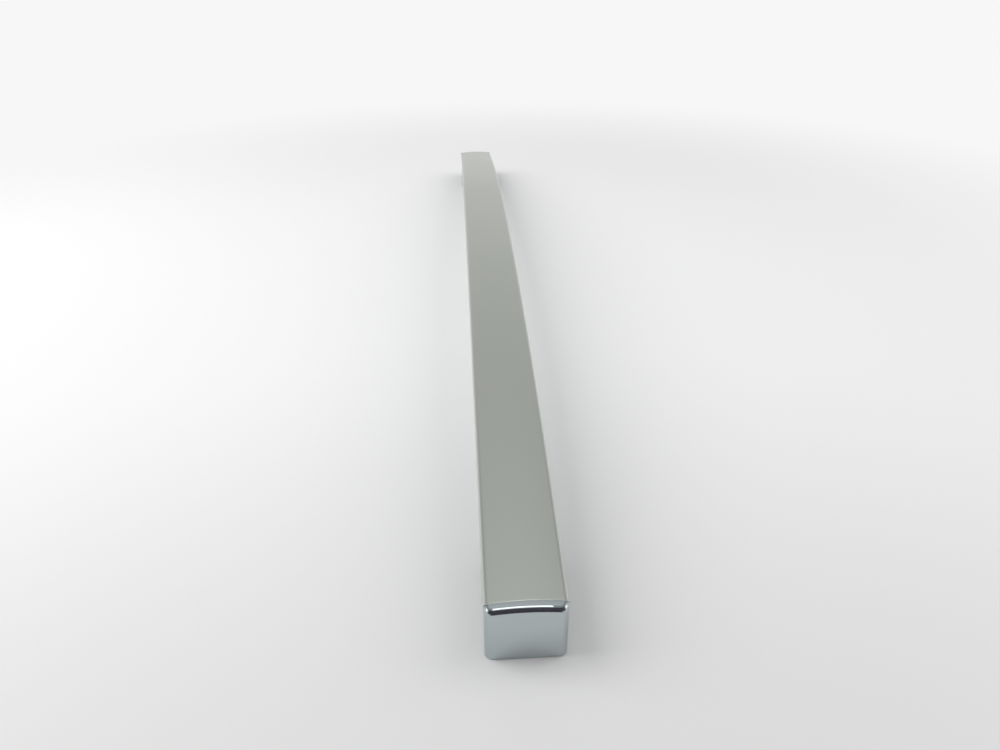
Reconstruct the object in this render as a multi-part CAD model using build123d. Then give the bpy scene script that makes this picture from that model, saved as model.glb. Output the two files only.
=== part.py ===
"""Arched bar handle for a refrigerator door, lying with its two feet on the door plane.

X runs across the bar, Y along it and Z away from the door. The lower foot is at -Y and the
upper foot at +Y. The origin is on the door plane, midway between the feet. A depth is always
measured square to the crown line, from the top of the crown down. Lengths are in millimetres.
"""
import math
import os

from build123d import *

# Overall form of the handle
handle_length = 740.0
bar_width = 35.0
bar_depth = 17.0
end_height = 29.0
arch_rise = 31.0
crown_sagitta = 1.3

# Clearances: a joint line between fixed faces, a running fit, and a loose gap
joint_line = 0.05
running_fit = 0.05
loose_gap = 0.5

# Brushed face strip, a bent sheet with a lip down each side, and the tape that holds it
strip_thickness = 0.6
strip_lip_depth = 6.0
edge_round = 2.5
tape_thickness = 0.4
tape_margin = 3.0

# Core bar, an extruded box with a heavy floor, bent to the arch
core_wall = 1.6
core_floor = 3.0
core_corner = 1.2

# Rear shell, a moulded channel with cross ribs, between the seams to the two feet
moulding_wall = 2.2
shell_corner = 4.0
tongue_height = 2.0
seam_margin = 4.0
seam_gap = 0.1
rib_pitch = 52.0
rib_margin = 20.0
rib_height = 1.65
rib_thickness = 1.6

# Foot, a hollow moulding that ends the bar and turns down to the door
end_wall = 3.8
foot_draft = 4.0
foot_blend = 11.0
rim_lift = 0.3
access_hole_diameter = 5.6

# Post inside each foot that takes a foot screw
post_diameter = 6.5
post_gap = 0.75
post_web = 2.0
pilot_spare = 1.6

# Mount block, a casting that the door stud enters from below
bore_diameter = 13.0
bore_roof = 3.7
bore_lead_in = 0.6
bore_wall = 2.6
block_end_wall = 1.9
block_corner = 1.5
ear_thickness = 5.0
ear_edge = 0.75

# Foot pad, a thin sheet under the mount block
pad_thickness = 1.0
pad_margin = 0.3
pad_hole_gap = 0.5
pad_corner = 1.2

# Set screw that locks the stud
set_screw_diameter = 5.0
set_screw_key = 2.5
set_screw_key_depth = 2.5
set_screw_recess = 0.1
set_screw_back_off = 0.2
set_screw_cup = 1.4

# Screws that hold each mount block to the core bar
block_screw_diameter = 5.0
block_screw_length = 10.0
block_screw_head = 8.5
block_screw_head_height = 5.0
block_screw_key = 4.0
block_screw_key_depth = 2.5
block_screw_reach = 1.0

# Edges of the screws: the rim of a head and the ends of a headless thread
head_edge = 0.4
thread_start = 0.7

# Screws that hold each foot to its mount block
foot_screw_diameter = 2.9
foot_screw_length = 10.0
foot_screw_head = 5.6
foot_screw_head_height = 2.0
foot_screw_sink = 0.4
foot_screw_cross = 3.2
foot_screw_cross_width = 0.8
foot_screw_cross_depth = 1.1

# The arch and the crown, worked out from the sizes above
handle_height = end_height + arch_rise
half_length = handle_length / 2
half_width = bar_width / 2
arch_radius = (half_length**2 + arch_rise**2) / (2 * arch_rise)
arch_centre = handle_height - arch_radius
arch_axis = Axis((0, 0, arch_centre), (-1, 0, 0))
crown_radius = (half_width**2 + crown_sagitta**2) / (2 * crown_sagitta)
section_plane = Plane(origin=(0, 0, handle_height), x_dir=(1, 0, 0), z_dir=(0, -1, 0))
clear_of_all = 2 * handle_height
past_end = half_length + bar_depth

# Half widths and depths of what lies inside one another
moulding_half = half_width - moulding_wall
core_half = moulding_half - loose_gap
core_top = strip_thickness + tape_thickness + 2 * joint_line
core_bottom = bar_depth - moulding_wall - rib_height - joint_line
block_recess = block_screw_head + loose_gap
foot_recess = foot_screw_head + loose_gap

# Places along the handle, from its end inwards
strip_end = half_length - end_wall
core_end = strip_end - loose_gap
block_half_length = bore_diameter / 2 + bore_wall + block_recess + block_end_wall
stud_y = core_end - block_half_length
block_screw_offset = bore_diameter / 2 + bore_wall + block_recess / 2
block_start = stud_y - block_half_length
post_y = block_start - post_gap - post_diameter / 2
ear_start = post_y - post_diameter / 2 - post_gap
inner_face = ear_start - loose_gap - moulding_wall
seam_y = inner_face - foot_blend - seam_margin
post_x = core_half - ear_edge - foot_recess / 2

# The set screw fills its hole from the side of the block to just short of the bore
set_screw_tip = bore_diameter / 2 + set_screw_back_off
set_screw_length = core_half - set_screw_recess - set_screw_tip

# Heights inside the foot
ear_top = pad_thickness + ear_thickness
foot_screw_seat = pad_thickness + foot_screw_sink + foot_screw_head_height
pilot_top = foot_screw_seat + foot_screw_length + pilot_spare


def arch_angle(y, radius=arch_radius):
    """Angle at the arch's centre of a place y on the circle of a given radius."""
    return math.degrees(math.asin(y / radius))


def height_at(depth, y):
    """Height above the door of the surface at a depth, at a place y."""
    return arch_centre + math.sqrt((arch_radius - depth) ** 2 - y**2)


# The bore ends below the core bar, and the set screw meets it halfway up
bore_top = height_at(core_bottom, stud_y + bore_diameter / 2) - bore_roof
set_screw_height = (pad_thickness + bore_top) / 2


def along_arch(section, start, end):
    """Carries a section round the arch from one place y to another, its ends square to the bar."""
    turned = (section_plane * section).rotate(arch_axis, arch_angle(start))
    return revolve(turned, arch_axis, revolution_arc=arch_angle(end) - arch_angle(start))


def between(solid, start, end):
    """Cuts a solid off upright at two places y."""
    middle = (start + end) / 2
    return solid & Pos(0, middle, 0) * Box(2 * bar_width, end - start, 2 * clear_of_all)


def crowned(half, top, bottom, upper_corner, lower_corner=0.0):
    """Section under the crown: curved top at one depth, flat bottom at another, upright sides."""
    radius = crown_radius - top
    edge = top + radius - math.sqrt(radius**2 - half**2)
    sides = Polyline((-half, -edge), (-half, -bottom), (half, -bottom), (half, -edge))
    section = make_face(sides + ThreePointArc((half, -edge), (0, -top), (-half, -edge)))
    corners = section.vertices().sort_by(Axis.Y)
    if lower_corner > 0:
        section = fillet(corners[:2], lower_corner)
        corners = section.vertices().sort_by(Axis.Y)
    if upper_corner > 0:
        section = fillet(corners[-2:], upper_corner)
    return section


def channel(half, top, bottom, corner=0.0):
    """Section with a flat top and bottom at two depths, and rounded lower corners."""
    section = Pos(0, -(top + bottom) / 2) * Rectangle(2 * half, bottom - top)
    if corner > 0:
        section = fillet(section.vertices().sort_by(Axis.Y)[:2], corner)
    return section


def upright(diameter, bottom, top, x, y):
    """Upright round bar between two heights."""
    return Pos(x, y, (bottom + top) / 2) * Cylinder(diameter / 2, top - bottom)


def make_face_strip():
    """Bent sheet over the core bar, with a lip down each side."""
    outside = crowned(half_width, 0, strip_lip_depth, edge_round)
    inside = crowned(
        half_width - strip_thickness,
        strip_thickness,
        strip_lip_depth + strip_thickness,
        edge_round - strip_thickness,
    )
    end = strip_end - joint_line
    return between(along_arch(outside - inside, -half_length, half_length), -end, end)


def make_face_tape():
    """Tape between the face strip and the core bar."""
    top = strip_thickness + joint_line
    half = core_half - tape_margin
    upper = crowned(half, top, core_bottom, 0)
    lower = crowned(half + joint_line, top + tape_thickness, core_bottom + joint_line, 0)
    return along_arch(upper - lower, -core_end, core_end)


def make_core_bar():
    """Box extrusion bent to the arch, with a tapped hole in its floor for each block screw."""
    outside = crowned(core_half, core_top, core_bottom, core_corner, core_corner)
    inside = crowned(core_half - core_wall, core_top + core_wall, core_bottom - core_floor, 0)
    bar = along_arch(outside - inside, -core_end, core_end)
    hole = block_screw_diameter + 2 * running_fit
    for side in (-1, 1):
        for offset in (-block_screw_offset, block_screw_offset):
            y = stud_y + offset
            low = height_at(core_bottom, y) - core_floor
            high = height_at(core_bottom - core_floor, y) + core_floor
            bar -= upright(hole, low, high, 0, side * y)
    return bar


def shell_section():
    """Section of the moulded channel: rounded outside, and a tongue that stands under each lip."""
    outside = channel(half_width, strip_lip_depth + joint_line, bar_depth, shell_corner)
    tongue_half = half_width - strip_thickness - joint_line
    tongue = channel(tongue_half, strip_lip_depth - tongue_height, bar_depth - shell_corner)
    return outside + tongue


def make_rear_shell():
    """Channel round the back of the core bar, with cross ribs that the core rests on."""
    end = seam_y - seam_gap / 2
    room_top = strip_lip_depth - tongue_height - joint_line
    inside = channel(moulding_half, room_top, bar_depth - moulding_wall)
    shell = along_arch(shell_section() - inside, -end, end)
    rib = channel(moulding_half, core_bottom + joint_line, bar_depth - moulding_wall)
    rib_count = 2 * int((end - rib_margin) // rib_pitch) + 1
    for number in range(rib_count):
        y = (number - (rib_count - 1) / 2) * rib_pitch
        shell += along_arch(rib, y - rib_thickness / 2, y + rib_thickness / 2)
    return shell


def foot_side(inset, end, floor, roof):
    """Side outline of the foot in Y and Z, drawn in from the outside by a wall thickness.

    The underside of the bar runs down through a hollow curve into the drafted inner face.
    """
    draft = math.radians(foot_draft)
    outward = (-math.cos(draft), -math.sin(draft))
    upward = (-math.sin(draft), math.cos(draft))
    under_radius = arch_radius - bar_depth
    blend_radius = foot_blend + inset

    # The hollow curve's centre is one blend radius off the inner face and off the underside
    foot_point = (inner_face + foot_blend * outward[0], foot_blend * outward[1] - arch_centre)
    along = foot_point[0] * upward[0] + foot_point[1] * upward[1]
    apart = foot_point[0] ** 2 + foot_point[1] ** 2 - (under_radius - foot_blend) ** 2
    rise = math.sqrt(along**2 - apart) - along
    blend_y = foot_point[0] + rise * upward[0]
    blend_z = foot_point[1] + rise * upward[1] + arch_centre

    arch_turn = math.atan2(blend_y, blend_z - arch_centre)
    blend_up = (math.sin(arch_turn), math.cos(arch_turn))
    halfway = (blend_up[0] - outward[0], blend_up[1] - outward[1])
    halfway_length = math.hypot(*halfway)

    def on_blend(direction):
        return (blend_y + blend_radius * direction[0], blend_z + blend_radius * direction[1])

    def on_arch(angle, radius):
        return (radius * math.sin(angle), arch_centre + radius * math.cos(angle))

    seam_turn = math.radians(arch_angle(seam_y + seam_gap / 2))
    under = under_radius + inset
    top = arch_radius + roof
    end_turn = math.asin(end / top)
    face_top = on_blend((-outward[0], -outward[1]))
    face_foot = inner_face - inset * outward[0] - (floor + inset * outward[1]) * math.tan(draft)
    blend_top = on_blend(blend_up)
    blend_middle = on_blend((halfway[0] / halfway_length, halfway[1] / halfway_length))
    seam_low = on_arch(seam_turn, under)
    seam_high = on_arch(seam_turn, top)
    end_high = on_arch(end_turn, top)

    outline = [
        Line((face_foot, floor), face_top),
        ThreePointArc(face_top, blend_middle, blend_top),
        ThreePointArc(blend_top, on_arch((arch_turn + seam_turn) / 2, under), seam_low),
        Line(seam_low, seam_high),
        ThreePointArc(seam_high, on_arch((seam_turn + end_turn) / 2, top), end_high),
        Line(end_high, (end, floor)),
        Line((end, floor), (face_foot, floor)),
    ]
    return Plane.YZ * make_face(outline)


def gap_side_edges(solid):
    """Edges along both sides of the foot's inner face, the hollow curve and the bar's underside."""
    found = []
    for edge in solid.edges():
        middle = edge.position_at(0.5)
        start = edge.position_at(0)
        stop = edge.position_at(1)
        on_side = abs(abs(middle.X) - half_width) < running_fit and start.X * stop.X > 0
        low = middle.Z < height_at(bar_depth - moulding_wall, middle.Y) + 2 * running_fit
        upper_end = middle.Y < ear_start
        off_floor = max(start.Z, stop.Z) > pad_thickness + rim_lift
        off_seam = middle.Y > seam_y + loose_gap
        if on_side and low and upper_end and off_floor and off_seam:
            found.append(edge)
    return found


def make_foot_outside():
    """Solid form of the foot: crowned top, rounded end and edges, hollow curve on the gap side."""
    crown = crowned(half_width, 0, clear_of_all, 0)
    envelope = along_arch(crown, seam_y + seam_gap / 2, past_end)
    solid = extrude(foot_side(0, half_length, rim_lift, loose_gap), bar_width, both=True)
    foot = fillet(gap_side_edges(solid & envelope), shell_corner)
    end_edges = [edge for edge in foot.edges() if on_end_face(edge.position_at(0.5))]
    foot = fillet([edge for edge in end_edges if abs(edge.tangent_at(0.5).Z) > 0.9], end_wall)
    crown_edges = [edge for edge in foot.edges() if on_crown_edge(edge.position_at(0.5))]
    return fillet(crown_edges, edge_round)


def on_end_face(place):
    """Whether a place lies on the upright end of the bar."""
    return place.Y > half_length - joint_line


def on_crown_edge(place):
    """Whether a place lies on the rim of the crowned top, along the sides or round the end."""
    past_seam = place.Y > seam_y + seam_gap
    on_side = abs(place.X) > half_width - end_wall
    near_end = place.Y > half_length - end_wall
    high = place.Z > height_at(crown_sagitta + loose_gap, min(place.Y, half_length))
    return past_seam and high and (on_side or near_end)


def make_foot_cavity():
    """Room inside the foot: the bar's channel and the column, open above and below."""
    side = foot_side(moulding_wall, strip_end, -pad_thickness, bar_depth)
    return extrude(side, moulding_half, both=True)


def make_strip_seat():
    """What the foot leaves out under the face strip: the crown and the lips, to the end wall."""
    whole = channel(bar_width, -bar_depth, strip_lip_depth + joint_line)
    tongue_half = half_width - strip_thickness - joint_line
    tongue = channel(tongue_half, strip_lip_depth - tongue_height, bar_depth)
    seat = along_arch(whole - tongue, seam_y - seam_gap, half_length)
    return between(seat, 0, strip_end)


def make_foot():
    """Hollow foot at the upper end: a stub of the bar's channel, the end wall and the column."""
    foot = make_foot_outside() - make_foot_cavity() - make_strip_seat()
    core_room = along_arch(channel(bar_width, -clear_of_all, core_bottom + loose_gap), 0, past_end)
    web_start = inner_face + moulding_wall / 2
    web_length = post_y - web_start
    web_place = Pos(0, web_start + web_length / 2, handle_height / 2 + ear_top + joint_line)
    web = web_place * Box(post_web, web_length, handle_height)
    for side in (-1, 1):
        post = upright(post_diameter, ear_top + joint_line, handle_height, side * post_x, post_y)
        foot += (post + Pos(side * post_x, 0, 0) * web) - core_room
    hole = foot_screw_diameter + 2 * running_fit
    for side in (-1, 1):
        foot -= upright(hole, rim_lift, pilot_top, side * post_x, post_y)
    access = Pos(half_width, stud_y, set_screw_height) * Rot(0, 90, 0)
    return foot - access * Cylinder(access_hole_diameter / 2, 3 * moulding_wall)


def make_mount_block():
    """Block in the upper foot: its top follows the core bar, and an ear runs under the posts."""
    body = Pos(0, stud_y, handle_height / 2 + pad_thickness)
    block = body * Box(2 * core_half, 2 * block_half_length, handle_height)
    block = fillet(block.edges().filter_by(Axis.Z), block_corner)
    ear_length = block_start + block_corner - ear_start
    ear_place = Pos(0, ear_start + ear_length / 2, pad_thickness + ear_thickness / 2)
    ear = ear_place * Box(2 * core_half, ear_length, ear_thickness)
    ear_corners = ear.edges().filter_by(Axis.Z).sort_by(Axis.Y)[:2]
    block += fillet(ear_corners, block_corner)
    block -= along_arch(channel(bar_width, -clear_of_all, core_bottom + joint_line), 0, past_end)

    # Stud bore, with a lead-in at its mouth, and the tapped hole of the set screw
    block -= upright(bore_diameter, 0, bore_top, 0, stud_y)
    lead_radius = bore_diameter / 2 + bore_lead_in
    lead_in = Cone(lead_radius, bore_diameter / 2, bore_lead_in)
    block -= Pos(0, stud_y, pad_thickness + bore_lead_in / 2) * lead_in
    tapped = Cylinder(set_screw_diameter / 2 + running_fit, half_width)
    block -= Pos(half_width / 2, stud_y, set_screw_height) * Rot(0, 90, 0) * tapped

    # Holes and head recesses of the block screws and foot screws
    clearance = block_screw_diameter + loose_gap
    for offset in (-block_screw_offset, block_screw_offset):
        seat = block_screw_seat(stud_y + offset)
        block -= upright(clearance, 0, handle_height, 0, stud_y + offset)
        block -= upright(block_recess, 0, seat, 0, stud_y + offset)
    for side in (-1, 1):
        x = side * post_x
        block -= upright(foot_screw_diameter + loose_gap, 0, handle_height, x, post_y)
        block -= upright(foot_recess, 0, foot_screw_seat, x, post_y)
    return block


def block_screw_seat(y):
    """Height of the shoulder that a block screw's head bears on, so that its tip just shows."""
    tip = height_at(core_bottom - core_floor, y) + block_screw_reach
    return tip - block_screw_length


def hex_socket(width, depth):
    """Hexagonal key socket, its mouth on the plane below it."""
    return extrude(RegularPolygon(width / 2, 6, major_radius=False), depth)


def make_block_screw(y):
    """Cap screw from the mount block up into the core bar's floor."""
    seat = block_screw_seat(y)
    head = Pos(0, 0, -block_screw_head_height / 2) * Cylinder(
        block_screw_head / 2, block_screw_head_height
    )
    head = chamfer(head.edges().sort_by(Axis.Z)[:1], head_edge)
    shank = Pos(0, 0, block_screw_length / 2) * Cylinder(
        block_screw_diameter / 2, block_screw_length
    )
    socket = Pos(0, 0, -block_screw_head_height) * hex_socket(block_screw_key, block_screw_key_depth)
    return Pos(0, y, seat) * (head + shank - socket)


def make_foot_screw(x):
    """Pan head screw from below the ear up into a post of the foot."""
    head = Pos(0, 0, -foot_screw_head_height / 2) * Cylinder(
        foot_screw_head / 2, foot_screw_head_height
    )
    head = chamfer(head.edges().sort_by(Axis.Z)[:1], head_edge)
    shank = Pos(0, 0, foot_screw_length / 2) * Cylinder(foot_screw_diameter / 2, foot_screw_length)
    slot = Box(foot_screw_cross, foot_screw_cross_width, foot_screw_cross_depth)
    recess_place = Pos(0, 0, foot_screw_cross_depth / 2 - foot_screw_head_height)
    recess = recess_place * (slot + Rot(0, 0, 90) * slot)
    return Pos(x, post_y, foot_screw_seat) * (head + shank - recess)


def make_set_screw():
    """Headless key screw with a cup point, in the side of the mount block, backed off the bore."""
    screw = Pos(0, 0, set_screw_length / 2) * Cylinder(set_screw_diameter / 2, set_screw_length)
    screw = chamfer(screw.edges().filter_by(GeomType.CIRCLE), thread_start)
    socket = Pos(0, 0, set_screw_length - set_screw_key_depth) * hex_socket(
        set_screw_key, set_screw_key_depth
    )
    cup = Pos(0, 0, set_screw_cup / 4) * Cone(set_screw_cup, 0, set_screw_cup / 2)
    place = Pos(set_screw_tip, stud_y, set_screw_height) * Rot(0, 90, 0)
    return place * (screw - socket - cup)


def make_foot_pad():
    """Thin sheet that lies on the door under the mount block, with a hole for the stud."""
    start = inner_face + moulding_wall + pad_margin
    end = strip_end - pad_margin
    place = Pos(0, (start + end) / 2, pad_thickness / 2)
    pad = place * Box(2 * (moulding_half - pad_margin), end - start, pad_thickness)
    pad = fillet(pad.edges().filter_by(Axis.Z), pad_corner)
    return pad - upright(bore_diameter + 2 * pad_hole_gap, 0, pad_thickness, 0, stud_y)


def lower(part):
    """The same piece at the other end of the handle."""
    return mirror(part, about=Plane.XZ)


upper_pieces = {
    "foot": make_foot(),
    "mount_block": make_mount_block(),
    "set_screw": make_set_screw(),
    "block_screw_outer": make_block_screw(stud_y + block_screw_offset),
    "block_screw_inner": make_block_screw(stud_y - block_screw_offset),
    "foot_screw_left": make_foot_screw(-post_x),
    "foot_screw_right": make_foot_screw(post_x),
    "foot_pad": make_foot_pad(),
}
pieces = {
    "face_strip": make_face_strip(),
    "face_tape": make_face_tape(),
    "core_bar": make_core_bar(),
    "rear_shell": make_rear_shell(),
}
for name, piece in upper_pieces.items():
    pieces["upper_" + name] = piece
    pieces["lower_" + name] = lower(piece)

os.makedirs("parts", exist_ok=True)
for name, piece in pieces.items():
    export_step(piece, f"parts/{name}.step")
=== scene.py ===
"""Dresses an arched refrigerator door handle: brushed face strip, bright shell and feet, fasteners.

X runs across the bar, Y along it and Z away from the door, in metres. Each piece is drawn as one
quarter or one end, carried along the arch, and copied to the other end.
"""
import math
from contextlib import contextmanager

import bmesh
import bpy
from bpy.props import FloatProperty, FloatVectorProperty, IntProperty, PointerProperty
from mathutils import Matrix, Vector


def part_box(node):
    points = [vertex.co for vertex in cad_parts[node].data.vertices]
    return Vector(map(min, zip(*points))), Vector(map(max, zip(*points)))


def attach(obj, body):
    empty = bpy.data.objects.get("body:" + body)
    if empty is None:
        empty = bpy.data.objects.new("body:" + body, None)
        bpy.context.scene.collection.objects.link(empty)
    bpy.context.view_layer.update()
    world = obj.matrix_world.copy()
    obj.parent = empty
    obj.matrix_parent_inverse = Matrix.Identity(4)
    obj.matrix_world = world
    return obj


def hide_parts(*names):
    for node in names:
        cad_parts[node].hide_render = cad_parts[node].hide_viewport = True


bl_info = {
    "name": "Refrigerator door handle",
    "version": (1, 0, 0),
    "blender": (4, 5, 0),
    "location": "3D View > Sidebar > Handle",
    "description": "Models the visible pieces of an arched bar handle round its frame",
    "category": "Object",
}

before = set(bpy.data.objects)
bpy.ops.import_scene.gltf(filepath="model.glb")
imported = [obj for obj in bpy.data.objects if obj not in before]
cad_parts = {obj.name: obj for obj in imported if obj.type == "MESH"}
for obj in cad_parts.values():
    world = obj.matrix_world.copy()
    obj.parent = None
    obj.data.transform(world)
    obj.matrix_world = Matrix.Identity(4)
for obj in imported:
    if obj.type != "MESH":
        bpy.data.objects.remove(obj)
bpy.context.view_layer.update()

STRIP_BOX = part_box("face_strip")
FOOT_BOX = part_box("upper_foot")
HANDLE = "handle"
ENDS = ("upper", "lower")
TINY = 0.00001

# Divisions of the curved forms
CROWN_CIRCLE_STEPS = 1440
STRIP_EDGE_STEPS = 10
STRIP_END_STEPS = 5
EDGE_STEPS = 12
CORNER_STEPS = 14
SEAM_END_STEPS = 5
FOOT_TOP_STEPS = 20
CROWN_COLUMNS = 5
HOLE_STEPS = 72

# Angles from which an edge stays sharp, and from which it is broken
SHARP_ANGLE = math.radians(32)
BROKEN_ANGLE = math.radians(60)

# Share of the slow cloudiness in a metal's gloss, the rest is grain
CLOUD_SHARE = 0.35

# Floor: painted shade, a greyer colour round a place before the near end that stands in for the
# shade on the floor towards the camera, and the fade into the backdrop
FLOOR_SIZE = 24
PAINTED_SHADE_CENTRE = (0, -0.62, 0)
PAINTED_SHADE_REACH = (0.15, 0.55)
FLOOR_FADE_REACH = (0.38, 0.90)

# Dark card: a half round wall and a sheet on the floor, placed from the near end; a painted dark
# reflection that stands in for the dark room and the shaded floor behind the camera
CARD_STEPS = 64
CARD_RADIUS = 0.14
CARD_HEIGHT = 0.145
CARD_GAP = 0.012
CARD_FADE_REACH = (0.100, 0.134)
CARD_SHEET_SIZE = 0.10
CARD_SHEET_GAP = 0.095
CARD_COLOUR = (0.080, 0.068, 0.088, 1)

# Room: light by height, and how it falls off to the sides and behind the camera
ROOM_LEVELS = ((0.0, 0.78), (0.30, 0.70), (0.62, 0.43), (0.85, 0.56), (1.0, 0.67))
ROOM_SIDE_REACH = (0.20, 0.75)
ROOM_SIDE_LEVEL = 0.76
ROOM_BEHIND_REACH = (0.1, -0.7)
ROOM_BEHIND_LEVEL = 0.62

# Lamps: place and size, the small ones placed from the near end at the level that they aim at
WIDE_LAMP = ((1.0, -0.05, 1.0), (0.9, 1.3))
CORNER_LAMP = ((0.125, -0.018, 0.034), (0.07, 0.06))
FRONT_LAMP = ((0, -0.065, 0.124), (0.092, 0.052))
LAMP_AIM_LEVEL = 0.03


def length(name, description, default):
    """Length property of a piece, in metres."""
    return FloatProperty(
        name=name, description=description, default=default, unit="LENGTH", precision=5
    )


def colour(name, description, default):
    """Colour property of a finish, in linear values."""
    return FloatVectorProperty(
        name=name, description=description, default=default, subtype="COLOR", size=3, min=0, max=1
    )


class BarSizes(bpy.types.PropertyGroup):
    """Sizes of the arched bar: face strip and rear shell."""

    half_width: length("Half width", "Half the width of the bar", STRIP_BOX[1].x)
    half_length: length("Half length", "Half the length of the handle", FOOT_BOX[1].y)
    height: length("Height", "Height of the crown above the door", STRIP_BOX[1].z)
    arch_rise: length("Arch rise", "Rise of the crown from the ends to the middle", 0.031)
    depth: length("Depth", "Depth of the bar under its crown", 0.017)
    crown_rise: length("Crown rise", "Rise of the crown from the sides to the middle", 0.0013)
    edge_round: length("Edge round", "Radius between the crown and the sides", 0.0025)
    strip_end: length("Strip end", "Half the length of the face strip", STRIP_BOX[1].y)
    strip_thickness: length("Strip thickness", "Thickness of the face strip", 0.0006)
    lip_depth: length("Lip depth", "Depth of the strip's lips", 0.006)
    joint_line: length("Joint line", "Gap between two fixed faces", 0.00005)
    wall: length("Wall", "Wall of the shell and the feet", 0.0022)
    shell_corner: length("Shell corner", "Radius of the bar's rear edges", 0.004)
    seam: length("Seam", "Distance from the middle to each seam", 0.3)
    edge_break: length("Edge break", "Rounding of the cut edges", 0.00012)
    strip_end_round: length("Strip end round", "Rounding of the face strip's ends", 0.00048)
    arch_steps: IntProperty(
        name="Arch steps", description="Divisions along half the arch", default=60, min=12
    )


class FootSizes(bpy.types.PropertyGroup):
    """Sizes of the foot at each end."""

    inner_face: length("Inner face", "Distance from the middle to the foot's inner face", 0.315)
    draft: FloatProperty(
        name="Draft",
        description="Slope of the inner face",
        default=math.radians(4),
        subtype="ANGLE",
    )
    blend: length("Blend", "Radius of the hollow curve under the bar", 0.011)
    end_wall: length("End wall", "Wall at the end, and radius of its corners", 0.0038)
    rim_lift: length("Rim lift", "Gap between the foot's rim and the door", FOOT_BOX[0].z)
    access_hole: length("Access hole", "Diameter of the hole over the set screw", 0.0056)


class Finishes(bpy.types.PropertyGroup):
    """Colours of the finishes."""

    steel: colour("Brushed steel", "Face strip", (0.637, 0.668, 0.619))
    # The plate's grey level is its own; its bluish tint is painted reflection of the pale blue-grey
    # surroundings
    plating: colour("Bright plating", "Feet and rear shell", (0.515, 0.571, 0.585))
    aluminium: colour("Aluminium", "Core bar", (0.720, 0.725, 0.730))
    casting: colour("Casting", "Mount blocks", (0.400, 0.410, 0.420))
    zinc: colour("Zinc plate", "Cap screws and pan head screws", (0.560, 0.575, 0.590))
    black: colour("Black oxide", "Set screws", (0.020, 0.020, 0.022))
    rubber: colour("Pad", "Foot pads", (0.022, 0.022, 0.023))
    foam: colour("Foam tape", "Tape under the face strip", (0.030, 0.030, 0.032))


class Studio(bpy.types.PropertyGroup):
    """Camera, floor and light."""

    lens: FloatProperty(name="Lens", description="Focal length", default=27.36, unit="CAMERA")
    camera_place: FloatVectorProperty(
        name="Camera place",
        description="Place of the camera",
        default=(-0.0213, -0.5841, 0.2611),
        subtype="TRANSLATION",
        unit="LENGTH",
    )
    yaw: FloatProperty(
        name="Yaw", description="Turn to the right", default=math.radians(2.986), subtype="ANGLE"
    )
    pitch: FloatProperty(
        name="Pitch", description="Tilt down", default=math.radians(30.082), subtype="ANGLE"
    )
    roll: FloatProperty(
        name="Roll", description="Roll of the camera", default=math.radians(-0.462), subtype="ANGLE"
    )
    # Painted shade: the darker floor colour round a place before the near end, standing in for the
    # shade towards the camera
    painted_shade_floor: colour("Near floor", "Colour of the floor at the near end", (0.80, 0.80, 0.80))
    floor_colour: colour("Floor", "Colour of the floor beside the handle", (0.96, 0.96, 0.96))
    backdrop: colour("Backdrop", "Colour of the far floor and the backdrop", (0.93, 0.93, 0.93))
    left_light: FloatProperty(
        name="Left light", description="Power of the left lamp", default=11.2, unit="POWER"
    )
    right_light: FloatProperty(
        name="Right light", description="Power of the right lamp", default=4.9, unit="POWER"
    )
    corner_light: FloatProperty(
        name="Corner light",
        description="Power of each small lamp for a corner of the near rim",
        default=0.014,
        unit="POWER",
    )
    front_light: FloatProperty(
        name="Front light",
        description="Power of the small lamp for the middle of the near rim",
        default=0.026,
        unit="POWER",
    )


def bar_sizes():
    """The bar's sizes in the current scene."""
    return bpy.context.scene.handle_bar


def foot_sizes():
    """The foot's sizes in the current scene."""
    return bpy.context.scene.handle_foot


def finishes():
    """The finishes in the current scene."""
    return bpy.context.scene.handle_finishes


def studio():
    """The studio's settings in the current scene."""
    return bpy.context.scene.handle_studio


def arch_radius():
    """Radius of the crown line along the bar."""
    bar = bar_sizes()
    return (bar.half_length**2 + bar.arch_rise**2) / (2 * bar.arch_rise)


def arch_centre():
    """Centre of the arch, in the plane across the middle."""
    return Vector((0, 0, bar_sizes().height - arch_radius()))


def arch_point(y, depth, x=0.0):
    """Point on the arch at a place y and a depth under the crown line."""
    radius = arch_radius() - depth
    return Vector((x, y, arch_centre().z + math.sqrt(radius**2 - y**2)))


def arch_angle(y, depth=0.0):
    """Angle at the arch's centre from the middle of the bar to a place y."""
    return math.asin(y / (arch_radius() - depth))


def crown_radius():
    """Radius of the crown across the bar."""
    bar = bar_sizes()
    return (bar.half_width**2 + bar.crown_rise**2) / (2 * bar.crown_rise)


def crown_drop(x):
    """Fall of the crown at a place across the bar."""
    radius = crown_radius()
    return radius - math.sqrt(radius**2 - x**2)


def deselect():
    """Leaves nothing selected, because the frame's nodes come in selected."""
    if bpy.context.object and bpy.context.object.mode != "OBJECT":
        bpy.ops.object.mode_set(mode="OBJECT")
    bpy.ops.object.select_all(action="DESELECT")


def settle(piece):
    """Puts a piece's place, turn and scale into its mesh."""
    deselect()
    piece.select_set(True)
    bpy.context.view_layer.objects.active = piece
    bpy.ops.object.transform_apply(location=True, rotation=True, scale=True)
    return piece


def named(name):
    """The object that an operator has just added, under its own name."""
    piece = bpy.context.object
    piece.name = name
    piece.data.name = name
    return settle(piece)


@contextmanager
def editing(piece):
    """Edit mode on one piece."""
    deselect()
    piece.select_set(True)
    bpy.context.view_layer.objects.active = piece
    bpy.ops.object.mode_set(mode="EDIT")
    bpy.ops.mesh.select_all(action="SELECT")
    yield
    bpy.ops.object.mode_set(mode="OBJECT")


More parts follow.
